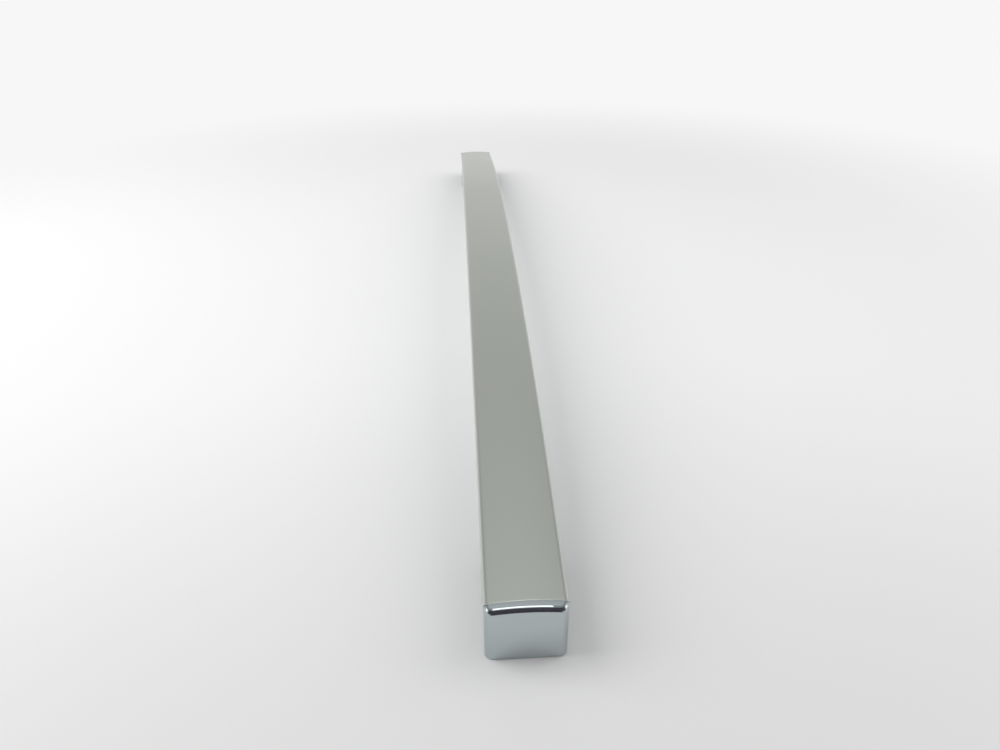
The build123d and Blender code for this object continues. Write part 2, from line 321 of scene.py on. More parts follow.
def pick(piece, kind, test):
    """Selects the vertices or the edges of the edited piece that pass a test."""
    bpy.ops.mesh.select_mode(type=kind)
    bpy.ops.mesh.select_all(action="DESELECT")
    mesh = bmesh.from_edit_mesh(piece.data)
    elements = {"VERT": mesh.verts, "EDGE": mesh.edges}[kind]
    found = [element for element in elements if test(element)]
    if not found:
        raise RuntimeError(f"nothing on {piece.name} passes the test")
    for element in found:
        element.select_set(True)
    mesh.select_flush_mode()
    bmesh.update_edit_mesh(piece.data)


def middle(element):
    """Middle of an edge or a face."""
    places = [corner.co for corner in element.verts]
    return sum(places, Vector()) / len(places)


def cut_off(place, normal, fill=False):
    """Cuts the edited piece by a plane and clears what lies past it."""
    bpy.ops.mesh.select_all(action="SELECT")
    bpy.ops.mesh.bisect(
        plane_co=place, plane_no=normal, use_fill=fill, clear_outer=True, threshold=TINY / 10
    )


def merge_points():
    """Merges the points of the edited piece that lie together."""
    bpy.ops.mesh.select_all(action="SELECT")
    bpy.ops.mesh.remove_doubles(threshold=TINY)


def face_outwards(piece, place, outward):
    """Turns a piece's faces so that the one nearest a place points the given way."""
    with editing(piece):
        bpy.ops.mesh.normals_make_consistent(inside=False)
        mesh = bmesh.from_edit_mesh(piece.data)
        nearest = min(mesh.faces, key=lambda face: (middle(face) - place).length)
        if nearest.normal.dot(outward) < 0:
            bpy.ops.mesh.flip_normals()


def modify(piece, kind, **settings):
    """Adds a modifier to a piece and applies it."""
    deselect()
    piece.select_set(True)
    bpy.context.view_layer.objects.active = piece
    modifier = piece.modifiers.new(kind.title(), kind)
    for name, value in settings.items():
        setattr(modifier, name, value)
    bpy.ops.object.modifier_apply(modifier=modifier.name)


def cut_out(piece, cutter):
    """Takes a cutter's form out of a piece."""
    modify(piece, "BOOLEAN", operation="DIFFERENCE", solver="EXACT", object=cutter)
    bpy.data.objects.remove(cutter)


def smooth(piece):
    """Smooth shading up to the sharp angle, with the flat faces left flat."""
    deselect()
    piece.select_set(True)
    bpy.context.view_layer.objects.active = piece
    bpy.ops.object.shade_smooth_by_angle(angle=SHARP_ANGLE)
    modify(piece, "WEIGHTED_NORMAL", keep_sharp=True, weight=80, thresh=0.0001)


def spin_about(axis, centre, angle, steps):
    """Carries what is selected round an axis, by the right-hand rule.

    The operator turns the other way, so the angle goes in negated.
    """
    bpy.ops.mesh.spin(steps=steps, angle=-angle, center=centre, axis=axis)


def carry_along_arch(end_angle):
    """Carries the selected half section from the middle of the bar towards the upper end."""
    spin_about((1, 0, 0), arch_centre(), -end_angle, bar_sizes().arch_steps)


def draw_strip_section(piece):
    """Half section of the strip: the crown's arc, the rounded edge and the lip."""
    bar = bar_sizes()
    radius = crown_radius()
    crown_centre = Vector((0, 0, bar.height - radius))
    corner_x = bar.half_width - bar.edge_round
    corner_turn = math.asin(corner_x / (radius - bar.edge_round))
    corner_z = crown_centre.z + (radius - bar.edge_round) * math.cos(corner_turn)
    with editing(piece):
        cut_off(crown_centre, (0, 0, -1))
        cut_off((0, 0, 0), (-1, 0, 0))
        cut_off((radius * math.sin(corner_turn), 0, 0), (1, 0, 0))
        pick(piece, "VERT", lambda point: point.co.x > radius * math.sin(corner_turn) - TINY)
        edge_turn = math.pi / 2 - corner_turn
        spin_about((0, 1, 0), (corner_x, 0, corner_z), edge_turn, STRIP_EDGE_STEPS)
        lip_end = bar.height - bar.lip_depth
        pick(piece, "VERT", lambda point: point.co.x > bar.half_width - TINY / 10)
        bpy.ops.mesh.extrude_region_move(
            TRANSFORM_OT_translate={"value": (0, 0, lip_end - corner_z)}
        )
        merge_points()


def draw_shell_section(piece):
    """Half section of the shell: the side, the rounded rear edge and the flat back."""
    bar = bar_sizes()
    back = bar.height - bar.depth
    top = bar.height - bar.lip_depth - bar.joint_line
    with editing(piece):
        pick(piece, "EDGE", lambda edge: middle(edge).z > top - TINY or middle(edge).x < TINY)
        bpy.ops.mesh.delete(type="EDGE_FACE")
        pick(piece, "VERT", lambda point: point.co.x > TINY and point.co.z < back + TINY)
        bpy.ops.mesh.bevel(
            offset_type="OFFSET", offset=bar.shell_corner, segments=EDGE_STEPS, affect="VERTICES"
        )


def mirror_halves(piece):
    """Completes a quarter across the bar and to the lower end."""
    with editing(piece):
        merge_points()
    modify(
        piece,
        "MIRROR",
        use_axis=(True, True, False),
        use_clip=True,
        use_mirror_merge=True,
        merge_threshold=TINY,
    )


def make_face_strip():
    """Bent sheet with a crowned face, a lip down each side and rounded ends."""
    bar = bar_sizes()
    radius = crown_radius()
    deselect()
    bpy.ops.mesh.primitive_circle_add(
        vertices=CROWN_CIRCLE_STEPS,
        radius=radius,
        location=(0, 0, bar.height - radius),
        rotation=(math.pi / 2, 0, 0),
    )
    strip = named("face_strip_sheet")
    draw_strip_section(strip)
    with editing(strip):
        carry_along_arch(arch_angle(bar.half_length, bar.lip_depth))
    mirror_halves(strip)
    face_outwards(strip, Vector((0, 0, bar.height)), Vector((0, 0, 1)))
    modify(
        strip,
        "SOLIDIFY",
        thickness=bar.strip_thickness,
        offset=-1,
        use_even_offset=True,
        use_quality_normals=True,
    )
    with editing(strip):
        for side in (-1, 1):
            cut_off((0, side * bar.strip_end, 0), (0, side, 0), fill=True)
    round_edges(strip, bar.strip_end_round, STRIP_END_STEPS, is_strip_end)
    break_edges(strip)
    smooth(strip)
    strip.data.materials.append(brushed_steel())
    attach(strip, HANDLE)
    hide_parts("face_strip")


def is_strip_end(edge):
    """Whether an edge is an end of the face strip's outer face, on the crown."""
    bar = bar_sizes()
    for point in edge.verts:
        on_end = abs(abs(point.co.y) - bar.strip_end) < TINY
        crown = arch_point(bar.strip_end, 0).z - crown_drop(point.co.x)
        if not on_end or abs(point.co.x) > bar.half_width - bar.edge_round + TINY:
            return False
        if point.co.z < crown - bar.strip_thickness / 2:
            return False
    return True


def break_edges(piece):
    """Rounds a piece's cut edges a little."""
    modify(
        piece,
        "BEVEL",
        width=bar_sizes().edge_break,
        segments=2,
        limit_method="ANGLE",
        angle_limit=BROKEN_ANGLE,
        use_clamp_overlap=True,
    )


def make_rear_shell():
    """Bright channel round the back of the bar, between the seams."""
    bar = bar_sizes()
    top = bar.height - bar.lip_depth - bar.joint_line
    back = bar.height - bar.depth
    deselect()
    bpy.ops.mesh.primitive_plane_add(
        size=1, location=(bar.half_width / 2, 0, (top + back) / 2), rotation=(math.pi / 2, 0, 0)
    )
    bpy.context.object.scale = (bar.half_width, top - back, 1)
    shell = named("rear_shell_channel")
    draw_shell_section(shell)
    with editing(shell):
        carry_along_arch(arch_angle(bar.seam - bar.joint_line))
    mirror_halves(shell)
    face_outwards(shell, Vector((0, 0, back)), Vector((0, 0, -1)))
    modify(
        shell,
        "SOLIDIFY",
        thickness=bar.wall,
        offset=-1,
        use_even_offset=True,
        use_quality_normals=True,
    )
    break_edges(shell)
    smooth(shell)
    shell.data.materials.append(bright_plating())
    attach(shell, HANDLE)
    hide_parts("rear_shell")


def start_outline(name, place):
    """One point, from which an outline is drawn by extruding and spinning it."""
    deselect()
    bpy.ops.mesh.primitive_plane_add(size=TINY, location=place)
    piece = named(name)
    with editing(piece):
        bpy.ops.mesh.merge(type="CENTER")
    return piece


def draw_line(start, stop):
    """Extrudes the selected point of an outline from one place to another."""
    bpy.ops.mesh.extrude_region_move(TRANSFORM_OT_translate={"value": Vector(stop) - Vector(start)})


def draw_arc(centre, angle, steps):
    """Spins the selected point of an outline, towards +Y over the top for a positive angle."""
    spin_about((1, 0, 0), centre, -angle, steps)


def draw_foot_side(piece, inset, floor, roof, stop):
    """Side outline of the foot, drawn in from the outside by a wall thickness.

    From the floor it climbs the inner face, turns through the hollow curve under the bar, runs
    to the seam, and comes back over the top to the end.
    """
    bar = bar_sizes()
    foot = foot_sizes()
    centre = arch_centre()
    outward = Vector((0, -math.cos(foot.draft), -math.sin(foot.draft)))
    upward = Vector((0, -math.sin(foot.draft), math.cos(foot.draft)))
    under = arch_radius() - bar.depth

    # The hollow curve's centre is one radius off the inner face and off the underside of the bar
    foot_point = Vector((0, foot.inner_face, 0)) + foot.blend * outward - centre
    along = foot_point.dot(upward)
    rise = math.sqrt(along**2 - foot_point.length_squared + (under - foot.blend) ** 2) - along
    hollow = centre + foot_point + rise * upward
    up_to_bar = (hollow - centre).normalized()

    face_top = hollow - (foot.blend + inset) * outward
    face_foot = face_top - (face_top.z - floor) / upward.z * upward
    seam = arch_angle(bar.seam + bar.joint_line)
    hollow_turn = math.acos(max(-1, min(1, up_to_bar.dot(-outward))))
    bar_turn = math.asin(up_to_bar.y) - seam
    low_seam = centre + (under + inset) * Vector((0, math.sin(seam), math.cos(seam)))
    high_seam = centre + (arch_radius() + roof) * Vector((0, math.sin(seam), math.cos(seam)))
    end_turn = math.asin(stop / (arch_radius() + roof)) - seam
    end_top = centre + (arch_radius() + roof) * Vector(
        (0, math.sin(seam + end_turn), math.cos(seam + end_turn))
    )
    with editing(piece):
        place = Vector(piece.data.vertices[0].co)
        across = Vector((place.x, 0, 0))
        draw_line(place, across + face_foot)
        draw_line(across + face_foot, across + face_top)
        draw_arc(across + hollow, -hollow_turn, CORNER_STEPS)
        draw_arc(across + centre, -bar_turn, SEAM_END_STEPS)
        draw_line(across + low_seam, across + high_seam)
        draw_arc(across + centre, end_turn, FOOT_TOP_STEPS)
        draw_line(across + end_top, place)
        merge_points()
        bpy.ops.mesh.edge_face_add()


def foot_solid(name, inset, floor, roof, stop, half):
    """Side outline of the foot carried across the bar."""
    piece = start_outline(name, (-half, stop, floor))
    draw_foot_side(piece, inset, floor, roof, stop)
    with editing(piece):
        bpy.ops.mesh.extrude_region_move(TRANSFORM_OT_translate={"value": (2 * half, 0, 0)})
        bpy.ops.mesh.select_all(action="SELECT")
        bpy.ops.mesh.normals_make_consistent(inside=False)
    return piece


def on_top(place):
    """Whether a place lies on the foot's uncut top, before it is crowned."""
    return abs(place.z - arch_point(place.y, 0).z) < TINY


def crown_foot(foot):
    """Divides the foot's top across the bar and lowers it towards the sides."""
    bar = bar_sizes()
    clear = bar.half_width - foot_sizes().end_wall - 10 * bar.joint_line
    steps = range(-CROWN_COLUMNS, CROWN_COLUMNS + 1)
    columns = [clear * step / CROWN_COLUMNS for step in steps]
    with editing(foot):
        for x in columns:
            bpy.ops.mesh.select_all(action="SELECT")
            bpy.ops.mesh.bisect(plane_co=(x, 0, 0), plane_no=(1, 0, 0), threshold=TINY / 10)
        for x in [-bar.half_width, *columns, bar.half_width]:
            pick(foot, "VERT", lambda point: abs(point.co.x - x) < TINY and on_top(point.co))
            bpy.ops.transform.translate(value=(0, 0, -crown_drop(x)))


def round_edges(piece, radius, segments, test):
    """Rounds the edges of a piece that pass a test."""
    with editing(piece):
        pick(piece, "EDGE", test)
        bpy.ops.mesh.bevel(
            offset_type="OFFSET",
            offset=radius,
            segments=segments,
            profile=0.5,
            affect="EDGES",
            clamp_overlap=False,
            loop_slide=True,
            material=-1,
        )


def is_end_corner(edge):
    """Whether an edge is an upright corner of the foot's end."""
    place = middle(edge)
    upright = abs(edge.verts[0].co.z - edge.verts[1].co.z) > bar_sizes().edge_round
    at_side = abs(place.x) > bar_sizes().half_width - TINY
    return upright and at_side and place.y > bar_sizes().half_length - TINY


def is_gap_side(edge):
    """Whether an edge runs along a side of the inner face, the hollow curve or the underside."""
    bar = bar_sizes()
    place = middle(edge)
    along = abs(edge.verts[0].co.x - edge.verts[1].co.x) < TINY
    at_side = abs(place.x) > bar.half_width - TINY
    low = place.z < arch_point(place.y, bar.depth).z + TINY
    inner = place.y < foot_sizes().inner_face + TINY
    at_seam = min(edge.verts[0].co.y, edge.verts[1].co.y) > bar.seam - bar.depth / 2
    return along and at_side and low and inner and at_seam


def is_rim(edge):
    """Whether an edge lies on the rim of the crown, along the sides and round the end."""
    bar = bar_sizes()
    for point in edge.verts:
        on_crown = abs(point.co.z - arch_point(point.co.y, 0).z) < 2 * bar.crown_rise
        on_side = abs(point.co.x) > bar.half_width - TINY
        in_corner = point.co.y > bar.half_length - foot_sizes().end_wall - TINY
        if not on_crown or not (on_side or in_corner):
            return False
    walls = [face for face in edge.link_faces if abs(face.normal.z) < 0.5]
    return len(walls) == 1


def make_seat_cutter():
    """What the foot leaves free for the face strip: all above the lips, up to the end wall."""
    bar = bar_sizes()
    deselect()
    bpy.ops.mesh.primitive_plane_add(
        size=1,
        location=(0, 0, bar.height - bar.lip_depth - bar.joint_line + bar.depth),
        rotation=(math.pi / 2, 0, 0),
    )
    bpy.context.object.scale = (4 * bar.half_width, 2 * bar.depth, 1)
    cutter = named("seat_cutter")
    with editing(cutter):
        beyond_end = 1.05 * arch_angle(bar.half_length)
        spin_about((1, 0, 0), arch_centre(), -beyond_end, 4 * bar.arch_steps)
        merge_points()
        wall = bar.half_length - foot_sizes().end_wall
        cut_off((0, wall, 0), (0, 1, 0), fill=True)
        cut_off((0, bar.seam - bar.depth, 0), (0, -1, 0), fill=True)
        bpy.ops.mesh.select_all(action="SELECT")
        bpy.ops.mesh.normals_make_consistent(inside=False)
    return cutter


def make_hole_cutter():
    """Round bar through the foot's side wall, over the set screw."""
    bar = bar_sizes()
    low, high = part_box("upper_set_screw")
    deselect()
    bpy.ops.mesh.primitive_cylinder_add(
        vertices=HOLE_STEPS,
        radius=foot_sizes().access_hole / 2,
        depth=4 * bar.wall,
        location=(bar.half_width, (low.y + high.y) / 2, (low.z + high.z) / 2),
        rotation=(0, math.pi / 2, 0),
    )
    return named("hole_cutter")


def make_foot():
    """Bright hollow foot at the upper end, with its rounded rim and corners."""
    bar = bar_sizes()
    sizes = foot_sizes()
    foot = foot_solid("upper_foot_shell", 0, sizes.rim_lift, 0, bar.half_length, bar.half_width)
    crown_foot(foot)
    round_edges(foot, sizes.end_wall, CORNER_STEPS, is_end_corner)
    round_edges(foot, bar.shell_corner, EDGE_STEPS, is_gap_side)
    round_edges(foot, bar.edge_round, EDGE_STEPS, is_rim)
    inner_half = bar.half_width - bar.wall
    inner_end = bar.half_length - sizes.end_wall
    cavity = foot_solid(
        "cavity_cutter", bar.wall, -sizes.rim_lift, bar.depth, inner_end, inner_half
    )
    cut_out(foot, make_seat_cutter())
    cut_out(foot, cavity)
    cut_out(foot, make_hole_cutter())
    break_edges(foot)
    smooth(foot)
    foot.data.materials.append(bright_plating())
    return foot


def make_feet():
    """Both feet, the lower one a mirrored copy with its own mesh."""
    upper = make_foot()
    deselect()
    upper.select_set(True)
    bpy.context.view_layer.objects.active = upper
    bpy.ops.object.duplicate(linked=False)
    lower = bpy.context.object
    lower.scale = (1, -1, 1)
    lower = named("lower_foot_shell")
    face_outwards(lower, Vector((0, -bar_sizes().half_length, 0.01)), Vector((0, -1, 0)))
    smooth(lower)
    for end, foot in zip(ENDS, (upper, lower)):
        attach(foot, HANDLE)
        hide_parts(f"{end}_foot")


def new_material(name):
    """A material with its node tree, its Principled shader and its Object coordinates."""
    material = bpy.data.materials.new(name)
    material.use_nodes = True
    nodes = material.node_tree.nodes
    coordinates = nodes.new("ShaderNodeTexCoord")
    return material, material.node_tree, nodes["Principled BSDF"], coordinates.outputs["Object"]


def calculate(tree, operation, *values):
    """Adds a math node on sockets and numbers, and gives its result."""
    node = tree.nodes.new("ShaderNodeMath")
    node.operation = operation
    for socket, value in zip(node.inputs, values):
        if isinstance(value, bpy.types.NodeSocket):
            tree.links.new(value, socket)
        else:
            socket.default_value = value
    return node.outputs[0]


def distance_from(tree, place, centre):
    """Adds a node that gives the distance of a place from a centre."""
    node = tree.nodes.new("ShaderNodeVectorMath")
    node.operation = "DISTANCE"
    node.inputs[1].default_value = centre
    tree.links.new(place, node.inputs[0])
    return node.outputs["Value"]


def scale_colour(tree, shade, factor):
    """Adds a node that makes a colour lighter or darker by a factor."""
    node = tree.nodes.new("ShaderNodeVectorMath")
    node.operation = "SCALE"
    tree.links.new(shade, node.inputs[0])
    tree.links.new(factor, node.inputs["Scale"])
    return node.outputs["Vector"]


def smooth_range(tree, value, reach, levels=(0, 1)):
    """Adds a node that goes smoothly from one level to another while a value crosses a reach."""
    node = tree.nodes.new("ShaderNodeMapRange")
    node.interpolation_type = "SMOOTHSTEP"
    node.inputs["From Min"].default_value = reach[0]
    node.inputs["From Max"].default_value = reach[1]
    node.inputs["To Min"].default_value = levels[0]
    node.inputs["To Max"].default_value = levels[1]
    tree.links.new(value, node.inputs["Value"])
    return node.outputs["Result"]


def new_group(name, inputs, outputs):
    """An empty node group with its sockets, its input node and its output node."""
    group = bpy.data.node_groups.new(name, "ShaderNodeTree")
    for way, sockets in (("INPUT", inputs), ("OUTPUT", outputs)):
        for socket, kind in sockets.items():
            group.interface.new_socket(socket, in_out=way, socket_type=f"NodeSocket{kind}")
    given = group.nodes.new("NodeGroupInput")
    result = group.nodes.new("NodeGroupOutput")
    return group, given.outputs, result.inputs


def grain_group():
    """Node group: fine grain of a metal, stretched along one axis, with slow cloudiness."""
    name = "handle_grain"
    if name in bpy.data.node_groups:
        return bpy.data.node_groups[name]
    given_sockets = {
        "Place": "Vector",
        "Grain": "Vector",
        "Cloud size": "Float",
        "Low": "Float",
        "High": "Float",
    }
    result_sockets = {"Height": "Float", "Roughness": "Float"}
    group, given, result = new_group(name, given_sockets, result_sockets)
    nodes = group.nodes
    links = group.links
    stretched = nodes.new("ShaderNodeVectorMath")
    stretched.operation = "MULTIPLY"
    links.new(given["Place"], stretched.inputs[0])
    links.new(given["Grain"], stretched.inputs[1])
    lines = nodes.new("ShaderNodeTexNoise")
    lines.inputs["Scale"].default_value = 1.0
    lines.inputs["Detail"].default_value = 3.0
    lines.inputs["Roughness"].default_value = 0.65
    links.new(stretched.outputs["Vector"], lines.inputs["Vector"])

    cloud = nodes.new("ShaderNodeTexNoise")
    cloud.inputs["Detail"].default_value = 2.0
    links.new(given["Place"], cloud.inputs["Vector"])
    links.new(given["Cloud size"], cloud.inputs["Scale"])
    share = calculate(group, "MULTIPLY", cloud.outputs["Fac"], CLOUD_SHARE)
    both = calculate(group, "MULTIPLY_ADD", lines.outputs["Fac"], 1 - CLOUD_SHARE, share)

    spread = nodes.new("ShaderNodeMapRange")
    spread.inputs["From Min"].default_value = 0.3
    spread.inputs["From Max"].default_value = 0.7
    links.new(both, spread.inputs["Value"])
    links.new(given["Low"], spread.inputs["To Min"])
    links.new(given["High"], spread.inputs["To Max"])

    links.new(lines.outputs["Fac"], result["Height"])
    links.new(spread.outputs["Result"], result["Roughness"])
    return group


def tint_group():
    """Node group: a colour that wanders between two shades of itself."""
    name = "handle_tint"
    if name in bpy.data.node_groups:
        return bpy.data.node_groups[name]
    group, given, result = new_group(
        name, {"Value": "Float", "Colour": "Color", "Spread": "Float"}, {"Colour": "Color"}
    )
    off_middle = calculate(group, "SUBTRACT", given["Value"], 0.5)
    factor = calculate(group, "MULTIPLY_ADD", off_middle, given["Spread"], 1.0)
    group.links.new(scale_colour(group, given["Colour"], factor), result["Colour"])
    return group


def metal(name, tint, *, grain, roughness, cloud_size, bump, spread, metallic=1.0):
    """Material with a grain in its colour, gloss and height, and cloudiness in its gloss."""
    if name in bpy.data.materials:
        return bpy.data.materials[name]
    material, tree, shader, place = new_material(name)
    nodes = tree.nodes
    links = tree.links
    texture = nodes.new("ShaderNodeGroup")
    texture.node_tree = grain_group()
    texture.inputs["Grain"].default_value = grain
    texture.inputs["Cloud size"].default_value = cloud_size
    texture.inputs["Low"].default_value = roughness[0]
    texture.inputs["High"].default_value = roughness[1]
    links.new(place, texture.inputs["Place"])
    shade = nodes.new("ShaderNodeGroup")
    shade.node_tree = tint_group()
    shade.inputs["Colour"].default_value = (*tint, 1)
    shade.inputs["Spread"].default_value = spread
    links.new(texture.outputs["Height"], shade.inputs["Value"])
    height = nodes.new("ShaderNodeBump")
    height.inputs["Distance"].default_value = bump
    height.inputs["Strength"].default_value = 1.0
    links.new(texture.outputs["Height"], height.inputs["Height"])
    links.new(shade.outputs["Colour"], shader.inputs["Base Color"])
    links.new(texture.outputs["Roughness"], shader.inputs["Roughness"])
    links.new(height.outputs["Normal"], shader.inputs["Normal"])
    shader.inputs["Metallic"].default_value = metallic
    return material


def brushed_steel():
    """Satin stainless steel, brushed lengthwise in very fine lines."""
    return metal(
        "brushed_steel",
        finishes().steel,
        grain=(5200, 26, 5200),
        roughness=(0.27, 0.37),
        cloud_size=14,
        bump=0.0000012,
        spread=0.10,
    )


def bright_plating():
    """Polished chrome plate, nearly a mirror."""
    return metal(
        "chrome_plate",
        finishes().plating,
        grain=(60, 60, 60),
        roughness=(0.015, 0.045),
        cloud_size=30,
        bump=0.000001,
        spread=0.02,
    )


def mill_aluminium():
    """Mill finish aluminium with extrusion lines."""
    return metal(
        "mill_aluminium",
        finishes().aluminium,
        grain=(2600, 8, 2600),
        roughness=(0.28, 0.45),
        cloud_size=40,
        bump=0.000004,
        spread=0.10,
    )


def tumbled_casting():
    """Dull tumbled zinc casting."""
    return metal(
        "tumbled_casting",
        finishes().casting,
        grain=(1500, 1500, 1500),
        roughness=(0.42, 0.62),
        cloud_size=120,
        bump=0.00002,
        spread=0.16,
    )


def zinc_plate():
    """Zinc-plated steel screws."""
    return metal(
        "zinc_plate",
        finishes().zinc,
        grain=(2200, 2200, 700),
        roughness=(0.22, 0.38),
        cloud_size=300,
        bump=0.000004,
        spread=0.10,
    )


def black_oxide():
    """Oiled black oxide steel."""
    return metal(
        "black_oxide",
        finishes().black,
        grain=(3000, 3000, 3000),
        roughness=(0.30, 0.46),
        cloud_size=400,
        bump=0.000004,
        spread=0.30,
        metallic=0.3,
    )


def pad_sheet():
    """Matte rubber sheet."""
    return metal(
        "pad_sheet",
        finishes().rubber,
        grain=(2500, 2500, 2500),
        roughness=(0.68, 0.86),
        cloud_size=150,
        bump=0.00003,
        spread=0.35,
        metallic=0.0,
    )


def foam_tape():
    """Dark closed-cell foam."""
    return metal(
        "foam_tape",
        finishes().foam,
        grain=(6000, 6000, 6000),
        roughness=(0.75, 0.95),
        cloud_size=200,
        bump=0.00005,
        spread=0.45,
        metallic=0.0,
    )


def dress_nodes():
    """Gives the carried-over nodes of the frame their finishes."""
    wear = {
        "core_bar": mill_aluminium(),
        "face_tape": foam_tape(),
        "mount_block": tumbled_casting(),
        "set_screw": black_oxide(),
        "block_screw": zinc_plate(),
        "foot_screw": zinc_plate(),
        "foot_pad": pad_sheet(),
    }
    for node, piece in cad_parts.items():
        for part, material in wear.items():
            if part in node:
                piece.data.materials.clear()
                piece.data.materials.append(material)


def make_floor():
    """Pale floor that keeps the shadows near the handle, with painted shade in its colour round a
    place before the near end, and fades into the backdrop.
    """
    deselect()
    bpy.ops.mesh.primitive_plane_add(size=FLOOR_SIZE, location=(0, 0, 0))
    floor = named("floor")
    material, tree, shader, place = new_material("pale_floor")
    nodes = tree.nodes
    links = tree.links
    shader.inputs["Roughness"].default_value = 0.9
    shader.inputs["Specular IOR Level"].default_value = 0.1
    # Painted shade: the floor's colour goes darker round a place before the near end, where the
    # shade towards the camera falls
    painted_shade_mix = nodes.new("ShaderNodeMix")
    painted_shade_mix.data_type = "RGBA"
    painted_shade_mix.inputs["A"].default_value = (*studio().painted_shade_floor, 1)
    painted_shade_mix.inputs["B"].default_value = (*studio().floor_colour, 1)
    beside = smooth_range(tree, distance_from(tree, place, PAINTED_SHADE_CENTRE), PAINTED_SHADE_REACH)
    links.new(beside, painted_shade_mix.inputs["Factor"])
    links.new(painted_shade_mix.outputs["Result"], shader.inputs["Base Color"])

    path = nodes.new("ShaderNodeLightPath")
    seen = calculate(tree, "MAXIMUM", path.outputs["Is Camera Ray"], path.outputs["Is Glossy Ray"])
    far = smooth_range(tree, distance_from(tree, place, (0, 0, 0)), FLOOR_FADE_REACH)
    plain = nodes.new("ShaderNodeEmission")
    plain.inputs["Color"].default_value = (*studio().backdrop, 1)
    blend = nodes.new("ShaderNodeMixShader")
    links.new(calculate(tree, "MULTIPLY", seen, far), blend.inputs["Fac"])
    links.new(shader.outputs["BSDF"], blend.inputs[1])
    links.new(plain.outputs["Emission"], blend.inputs[2])
    links.new(blend.outputs["Shader"], nodes["Material Output"].inputs["Surface"])
    floor.data.materials.append(material)


def make_card():
    """Dark card bent round the near end, seen only in the reflections of the bright rims: a painted
    dark reflection that stands in for the dark room and the shaded floor behind the camera.

    It fades out at its sides, so that the sides of the handle don't show its edge.
    """
    near_end = -bar_sizes().half_length
    deselect()
    bpy.ops.mesh.primitive_circle_add(
        vertices=CARD_STEPS, radius=CARD_RADIUS, location=(0, near_end, 0)
    )
    card = named("dark_card")
    with editing(card):
        cut_off((0, near_end - CARD_GAP, 0), (0, 1, 0))
        bpy.ops.mesh.select_all(action="SELECT")
        bpy.ops.mesh.extrude_region_move(TRANSFORM_OT_translate={"value": (0, 0, CARD_HEIGHT)})
        # The sheet lying on the floor paints a dark reflection of shaded floor into the bright rim
        bpy.ops.mesh.primitive_plane_add(
            size=CARD_SHEET_SIZE, location=(0, near_end - CARD_SHEET_GAP, TINY)
        )
    material, tree, shader, place = new_material("dark_card")
    shader.inputs["Base Color"].default_value = CARD_COLOUR
    shader.inputs["Roughness"].default_value = 0.8
    parts = tree.nodes.new("ShaderNodeSeparateXYZ")
    tree.links.new(place, parts.inputs["Vector"])
    aside = calculate(tree, "ABSOLUTE", parts.outputs["X"])
    tree.links.new(smooth_range(tree, aside, CARD_FADE_REACH, (1, 0)), shader.inputs["Alpha"])
    card.data.materials.append(material)
    card.visible_camera = False
    card.visible_diffuse = False
    card.visible_shadow = False


def make_world():
    """Soft room: pale beyond the handle, greyer to the sides and behind the camera."""
    world = bpy.data.worlds.new("soft_room")
    bpy.context.scene.world = world
    world.use_nodes = True
    tree = world.node_tree
    nodes = tree.nodes
    links = tree.links
    direction = nodes.new("ShaderNodeTexCoord")
    parts = nodes.new("ShaderNodeSeparateXYZ")
    links.new(direction.outputs["Generated"], parts.inputs["Vector"])

    height = nodes.new("ShaderNodeValToRGB")
    height.color_ramp.interpolation = "B_SPLINE"
    stops = height.color_ramp.elements
    for position, _ in ROOM_LEVELS[1:-1]:
        stops.new(position)
    for stop, (_, level) in zip(stops, ROOM_LEVELS):
        stop.color = (level, level, level, 1)
    links.new(parts.outputs["Z"], height.inputs["Fac"])

    aside = calculate(tree, "ABSOLUTE", parts.outputs["X"])
    side = smooth_range(tree, aside, ROOM_SIDE_REACH, (1, ROOM_SIDE_LEVEL))
    behind = smooth_range(tree, parts.outputs["Y"], ROOM_BEHIND_REACH, (1, ROOM_BEHIND_LEVEL))
    shade = calculate(tree, "MULTIPLY", side, behind)

    path = nodes.new("ShaderNodeLightPath")
    plain = nodes.new("ShaderNodeMix")
    plain.data_type = "RGBA"
    plain.inputs["B"].default_value = (*studio().backdrop, 1)
    links.new(path.outputs["Is Camera Ray"], plain.inputs["Factor"])
    links.new(scale_colour(tree, height.outputs["Color"], shade), plain.inputs["A"])
    links.new(plain.outputs["Result"], nodes["Background"].inputs["Color"])


def make_lamp(name, place, aim, size, power):
    """Rectangular lamp at a place, turned to what it lights."""
    deselect()
    turn = (aim - place).to_track_quat("-Z", "Y").to_euler()
    bpy.ops.object.light_add(type="AREA", location=place, rotation=turn)
    lamp = bpy.context.object
    lamp.name = name
    lamp.data.shape = "RECTANGLE"
    lamp.data.size, lamp.data.size_y = size
    lamp.data.energy = power
    return lamp


def make_rim_lamp(name, offset, size, power, side=1):
    """Small lamp near the near end, which shows only in reflections."""
    near_end = Vector((0, -bar_sizes().half_length, LAMP_AIM_LEVEL))
    place = near_end + Vector((side * offset[0], offset[1], offset[2]))
    lamp = make_lamp(name, place, near_end, size, power)
    lamp.visible_diffuse = False
    lamp.visible_camera = False


def make_lamps():
    """A wide lamp on each side for the shadows, and small ones that the near rim reflects."""
    settings = studio()
    (across, along, up), wide_size = WIDE_LAMP
    for end, side, power in (("left", -1, settings.left_light), ("right", 1, settings.right_light)):
        place = Vector((side * across, along, up))
        wide = make_lamp(f"{end}_lamp", place, Vector((0, 0, 0)), wide_size, power)
        wide.visible_glossy = False
        make_rim_lamp(f"{end}_strip_lamp", *CORNER_LAMP, settings.corner_light, side)
    make_rim_lamp("front_lamp", *FRONT_LAMP, settings.front_light)


